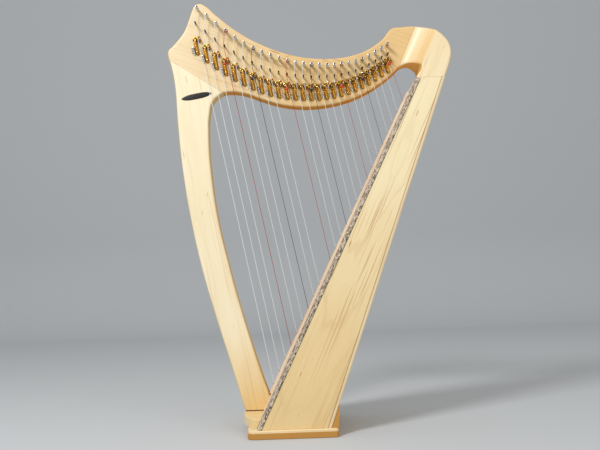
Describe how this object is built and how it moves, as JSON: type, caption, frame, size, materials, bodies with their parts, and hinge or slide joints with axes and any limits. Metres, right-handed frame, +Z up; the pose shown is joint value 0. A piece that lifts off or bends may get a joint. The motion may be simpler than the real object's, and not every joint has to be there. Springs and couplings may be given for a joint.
{
  "type": "lever harp",
  "caption": "Free-standing wooden harp with a curved pillar and neck, tapered soundbox on a base plate, turning tuning pins and a flip-up sharpening lever at each string.",
  "frame": {"origin": "middle of the bounding box, on the surface that the harp stands on", "axes": "+X from the pillar to the soundbox, -Y towards the side with the levers, +Z up"},
  "size_m": [0.656, 0.26, 0.99],
  "materials": {
    "maple": "satin lacquer",
    "neck_maple": "satin lacquer",
    "edge_maple": "satin lacquer",
    "soundboard_wood": "satin lacquer",
    "nylon": "clear monofilament",
    "nickel": "nickel plated",
    "brass": "polished brass"
  },
  "bodies": {
    "frame": {"base": "edge_maple", "pillar_foot": "maple", "pillar": "maple", "neck": "neck_maple", "shoulder_block": "maple", "soundboard": "soundboard_wood", "side_left": "maple", "side_right": "maple", "back_panel": "edge_maple", "strings": "nylon"},
    "tuning_pin_01": {"tuning_pin_01": "nickel"},
    "tuning_pin_02": {"tuning_pin_02": "nickel"},
    "tuning_pin_03": {"tuning_pin_03": "nickel"},
    "tuning_pin_04": {"tuning_pin_04": "nickel"},
    "tuning_pin_05": {"tuning_pin_05": "nickel"},
    "tuning_pin_06": {"tuning_pin_06": "nickel"},
    "tuning_pin_07": {"tuning_pin_07": "nickel"},
    "tuning_pin_08": {"tuning_pin_08": "nickel"},
    "tuning_pin_09": {"tuning_pin_09": "nickel"},
    "tuning_pin_10": {"tuning_pin_10": "nickel"},
    "tuning_pin_11": {"tuning_pin_11": "nickel"},
    "tuning_pin_12": {"tuning_pin_12": "nickel"},
    "tuning_pin_13": {"tuning_pin_13": "nickel"},
    "tuning_pin_14": {"tuning_pin_14": "nickel"},
    "tuning_pin_15": {"tuning_pin_15": "nickel"},
    "tuning_pin_16": {"tuning_pin_16": "nickel"},
    "tuning_pin_17": {"tuning_pin_17": "nickel"},
    "tuning_pin_18": {"tuning_pin_18": "nickel"},
    "tuning_pin_19": {"tuning_pin_19": "nickel"},
    "tuning_pin_20": {"tuning_pin_20": "nickel"},
    "tuning_pin_21": {"tuning_pin_21": "nickel"},
    "tuning_pin_22": {"tuning_pin_22": "nickel"},
    "tuning_pin_23": {"tuning_pin_23": "nickel"},
    "tuning_pin_24": {"tuning_pin_24": "nickel"},
    "tuning_pin_25": {"tuning_pin_25": "nickel"},
    "lever_01": {"lever_01": "brass"},
    "lever_02": {"lever_02": "brass"},
    "lever_03": {"lever_03": "brass"},
    "lever_04": {"lever_04": "brass"},
    "lever_05": {"lever_05": "brass"},
    "lever_06": {"lever_06": "brass"},
    "lever_07": {"lever_07": "brass"},
    "lever_08": {"lever_08": "brass"},
    "lever_09": {"lever_09": "brass"},
    "lever_10": {"lever_10": "brass"},
    "lever_11": {"lever_11": "brass"},
    "lever_12": {"lever_12": "brass"},
    "lever_13": {"lever_13": "brass"},
    "lever_14": {"lever_14": "brass"},
    "lever_15": {"lever_15": "brass"},
    "lever_16": {"lever_16": "brass"},
    "lever_17": {"lever_17": "brass"},
    "lever_18": {"lever_18": "brass"},
    "lever_19": {"lever_19": "brass"},
    "lever_20": {"lever_20": "brass"},
    "lever_21": {"lever_21": "brass"},
    "lever_22": {"lever_22": "brass"},
    "lever_23": {"lever_23": "brass"},
    "lever_24": {"lever_24": "brass"},
    "lever_25": {"lever_25": "brass"}
  },
  "joints": [
    {"name": "tuning_pin_01_turn", "type": "hinge", "parent": "frame", "child": "tuning_pin_01", "pos_m": [-0.25453, 0, 0.974], "axis": [0, 1, 0], "range_deg": [-720, 45]},
    {"name": "tuning_pin_02_turn", "type": "hinge", "parent": "frame", "child": "tuning_pin_02", "pos_m": [-0.23221, 0, 0.95441], "axis": [0, 1, 0], "range_deg": [-720, 45]},
    {"name": "tuning_pin_03_turn", "type": "hinge", "parent": "frame", "child": "tuning_pin_03", "pos_m": [-0.21023, 0, 0.93558], "axis": [0, 1, 0], "range_deg": [-720, 45]},
    {"name": "tuning_pin_04_turn", "type": "hinge", "parent": "frame", "child": "tuning_pin_04", "pos_m": [-0.1886, 0, 0.91766], "axis": [0, 1, 0], "range_deg": [-720, 45]},
    {"name": "tuning_pin_05_turn", "type": "hinge", "parent": "frame", "child": "tuning_pin_05", "pos_m": [-0.16731, 0, 0.90066], "axis": [0, 1, 0], "range_deg": [-720, 45]},
    {"name": "tuning_pin_06_turn", "type": "hinge", "parent": "frame", "child": "tuning_pin_06", "pos_m": [-0.14636, 0, 0.88589], "axis": [0, 1, 0], "range_deg": [-720, 45]},
    {"name": "tuning_pin_07_turn", "type": "hinge", "parent": "frame", "child": "tuning_pin_07", "pos_m": [-0.12576, 0, 0.874], "axis": [0, 1, 0], "range_deg": [-720, 45]},
    {"name": "tuning_pin_08_turn", "type": "hinge", "parent": "frame", "child": "tuning_pin_08", "pos_m": [-0.1055, 0, 0.8642], "axis": [0, 1, 0], "range_deg": [-720, 45]},
    {"name": "tuning_pin_09_turn", "type": "hinge", "parent": "frame", "child": "tuning_pin_09", "pos_m": [-0.08558, 0, 0.8556], "axis": [0, 1, 0], "range_deg": [-720, 45]},
    {"name": "tuning_pin_10_turn", "type": "hinge", "parent": "frame", "child": "tuning_pin_10", "pos_m": [-0.066, 0, 0.84791], "axis": [0, 1, 0], "range_deg": [-720, 45]},
    {"name": "tuning_pin_11_turn", "type": "hinge", "parent": "frame", "child": "tuning_pin_11", "pos_m": [-0.04677, 0, 0.84145], "axis": [0, 1, 0], "range_deg": [-720, 45]},
    {"name": "tuning_pin_12_turn", "type": "hinge", "parent": "frame", "child": "tuning_pin_12", "pos_m": [-0.02788, 0, 0.83637], "axis": [0, 1, 0], "range_deg": [-720, 45]},
    {"name": "tuning_pin_13_turn", "type": "hinge", "parent": "frame", "child": "tuning_pin_13", "pos_m": [-0.00933, 0, 0.83278], "axis": [0, 1, 0], "range_deg": [-720, 45]},
    {"name": "tuning_pin_14_turn", "type": "hinge", "parent": "frame", "child": "tuning_pin_14", "pos_m": [0.00887, 0, 0.83038], "axis": [0, 1, 0], "range_deg": [-720, 45]},
    {"name": "tuning_pin_15_turn", "type": "hinge", "parent": "frame", "child": "tuning_pin_15", "pos_m": [0.02673, 0, 0.82884], "axis": [0, 1, 0], "range_deg": [-720, 45]},
    {"name": "tuning_pin_16_turn", "type": "hinge", "parent": "frame", "child": "tuning_pin_16", "pos_m": [0.04425, 0, 0.82797], "axis": [0, 1, 0], "range_deg": [-720, 45]},
    {"name": "tuning_pin_17_turn", "type": "hinge", "parent": "frame", "child": "tuning_pin_17", "pos_m": [0.06142, 0, 0.82797], "axis": [0, 1, 0], "range_deg": [-720, 45]},
    {"name": "tuning_pin_18_turn", "type": "hinge", "parent": "frame", "child": "tuning_pin_18", "pos_m": [0.07826, 0, 0.82908], "axis": [0, 1, 0], "range_deg": [-720, 45]},
    {"name": "tuning_pin_19_turn", "type": "hinge", "parent": "frame", "child": "tuning_pin_19", "pos_m": [0.09474, 0, 0.83101], "axis": [0, 1, 0], "range_deg": [-720, 45]},
    {"name": "tuning_pin_20_turn", "type": "hinge", "parent": "frame", "child": "tuning_pin_20", "pos_m": [0.11089, 0, 0.83398], "axis": [0, 1, 0], "range_deg": [-720, 45]},
    {"name": "tuning_pin_21_turn", "type": "hinge", "parent": "frame", "child": "tuning_pin_21", "pos_m": [0.12669, 0, 0.83871], "axis": [0, 1, 0], "range_deg": [-720, 45]},
    {"name": "tuning_pin_22_turn", "type": "hinge", "parent": "frame", "child": "tuning_pin_22", "pos_m": [0.14215, 0, 0.84572], "axis": [0, 1, 0], "range_deg": [-720, 45]},
    {"name": "tuning_pin_23_turn", "type": "hinge", "parent": "frame", "child": "tuning_pin_23", "pos_m": [0.15727, 0, 0.85435], "axis": [0, 1, 0], "range_deg": [-720, 45]},
    {"name": "tuning_pin_24_turn", "type": "hinge", "parent": "frame", "child": "tuning_pin_24", "pos_m": [0.17204, 0, 0.86345], "axis": [0, 1, 0], "range_deg": [-720, 45]},
    {"name": "tuning_pin_25_turn", "type": "hinge", "parent": "frame", "child": "tuning_pin_25", "pos_m": [0.18647, 0, 0.872], "axis": [0, 1, 0], "range_deg": [-720, 45]},
    {"name": "lever_01_flip", "type": "hinge", "parent": "frame", "child": "lever_01", "pos_m": [-0.25499, -0.0055, 0.90166], "axis": [-0.9827, 0, -0.1851], "range_deg": [0, 100]},
    {"name": "lever_02_flip", "type": "hinge", "parent": "frame", "child": "lever_02", "pos_m": [-0.23265, -0.0055, 0.88265], "axis": [-0.9825, 0, -0.1861], "range_deg": [0, 100]},
    {"name": "lever_03_flip", "type": "hinge", "parent": "frame", "child": "lever_03", "pos_m": [-0.21066, -0.0055, 0.86485], "axis": [-0.9823, 0, -0.1873], "range_deg": [0, 100]},
    {"name": "lever_04_flip", "type": "hinge", "parent": "frame", "child": "lever_04", "pos_m": [-0.189, -0.0055, 0.84921], "axis": [-0.9821, 0, -0.1884], "range_deg": [0, 100]},
    {"name": "lever_05_flip", "type": "hinge", "parent": "frame", "child": "lever_05", "pos_m": [-0.16768, -0.0055, 0.83503], "axis": [-0.9819, 0, -0.1895], "range_deg": [0, 100]},
    {"name": "lever_06_flip", "type": "hinge", "parent": "frame", "child": "lever_06", "pos_m": [-0.1467, -0.0055, 0.82254], "axis": [-0.9816, 0, -0.1907], "range_deg": [0, 100]},
    {"name": "lever_07_flip", "type": "hinge", "parent": "frame", "child": "lever_07", "pos_m": [-0.12605, -0.0055, 0.81169], "axis": [-0.9814, 0, -0.192], "range_deg": [0, 100]},
    {"name": "lever_08_flip", "type": "hinge", "parent": "frame", "child": "lever_08", "pos_m": [-0.10574, -0.0055, 0.80246], "axis": [-0.9812, 0, -0.1932], "range_deg": [0, 100]},
    {"name": "lever_09_flip", "type": "hinge", "parent": "frame", "child": "lever_09", "pos_m": [-0.08578, -0.0055, 0.79503], "axis": [-0.9809, 0, -0.1945], "range_deg": [0, 100]},
    {"name": "lever_10_flip", "type": "hinge", "parent": "frame", "child": "lever_10", "pos_m": [-0.06615, -0.0055, 0.78965], "axis": [-0.9807, 0, -0.1955], "range_deg": [0, 100]},
    {"name": "lever_11_flip", "type": "hinge", "parent": "frame", "child": "lever_11", "pos_m": [-0.04686, -0.0055, 0.78593], "axis": [-0.9805, 0, -0.1966], "range_deg": [0, 100]},
    {"name": "lever_12_flip", "type": "hinge", "parent": "frame", "child": "lever_12", "pos_m": [-0.0279, -0.0055, 0.78316], "axis": [-0.9802, 0, -0.1979], "range_deg": [0, 100]},
    {"name": "lever_13_flip", "type": "hinge", "parent": "frame", "child": "lever_13", "pos_m": [-0.00928, -0.0055, 0.78115], "axis": [-0.9799, 0, -0.1996], "range_deg": [0, 100]},
    {"name": "lever_14_flip", "type": "hinge", "parent": "frame", "child": "lever_14", "pos_m": [0.00901, -0.0055, 0.78009], "axis": [-0.9794, 0, -0.2017], "range_deg": [0, 100]},
    {"name": "lever_15_flip", "type": "hinge", "parent": "frame", "child": "lever_15", "pos_m": [0.02696, -0.0055, 0.78006], "axis": [-0.9789, 0, -0.2044], "range_deg": [0, 100]},
    {"name": "lever_16_flip", "type": "hinge", "parent": "frame", "child": "lever_16", "pos_m": [0.04458, -0.0055, 0.78099], "axis": [-0.9782, 0, -0.2076], "range_deg": [0, 100]},
    {"name": "lever_17_flip", "type": "hinge", "parent": "frame", "child": "lever_17", "pos_m": [0.06188, -0.0055, 0.78294], "axis": [-0.9774, 0, -0.2115], "range_deg": [0, 100]},
    {"name": "lever_18_flip", "type": "hinge", "parent": "frame", "child": "lever_18", "pos_m": [0.07884, -0.0055, 0.78606], "axis": [-0.9764, 0, -0.2161], "range_deg": [0, 100]},
    {"name": "lever_19_flip", "type": "hinge", "parent": "frame", "child": "lever_19", "pos_m": [0.09548, -0.0055, 0.79021], "axis": [-0.9751, 0, -0.2217], "range_deg": [0, 100]},
    {"name": "lever_20_flip", "type": "hinge", "parent": "frame", "child": "lever_20", "pos_m": [0.11179, -0.0055, 0.79543], "axis": [-0.9736, 0, -0.2285], "range_deg": [0, 100]},
    {"name": "lever_21_flip", "type": "hinge", "parent": "frame", "child": "lever_21", "pos_m": [0.12777, -0.0055, 0.8019], "axis": [-0.9716, 0, -0.2364], "range_deg": [0, 100]},
    {"name": "lever_22_flip", "type": "hinge", "parent": "frame", "child": "lever_22", "pos_m": [0.14343, -0.0055, 0.80977], "axis": [-0.9694, 0, -0.2457], "range_deg": [0, 100]},
    {"name": "lever_23_flip", "type": "hinge", "parent": "frame", "child": "lever_23", "pos_m": [0.15878, -0.0055, 0.81846], "axis": [-0.9664, 0, -0.2572], "range_deg": [0, 100]},
    {"name": "lever_24_flip", "type": "hinge", "parent": "frame", "child": "lever_24", "pos_m": [0.17384, -0.0055, 0.82731], "axis": [-0.962, 0, -0.2731], "range_deg": [0, 100]},
    {"name": "lever_25_flip", "type": "hinge", "parent": "frame", "child": "lever_25", "pos_m": [0.18865, -0.0055, 0.83573], "axis": [-0.955, 0, -0.2966], "range_deg": [0, 100]}
  ]
}
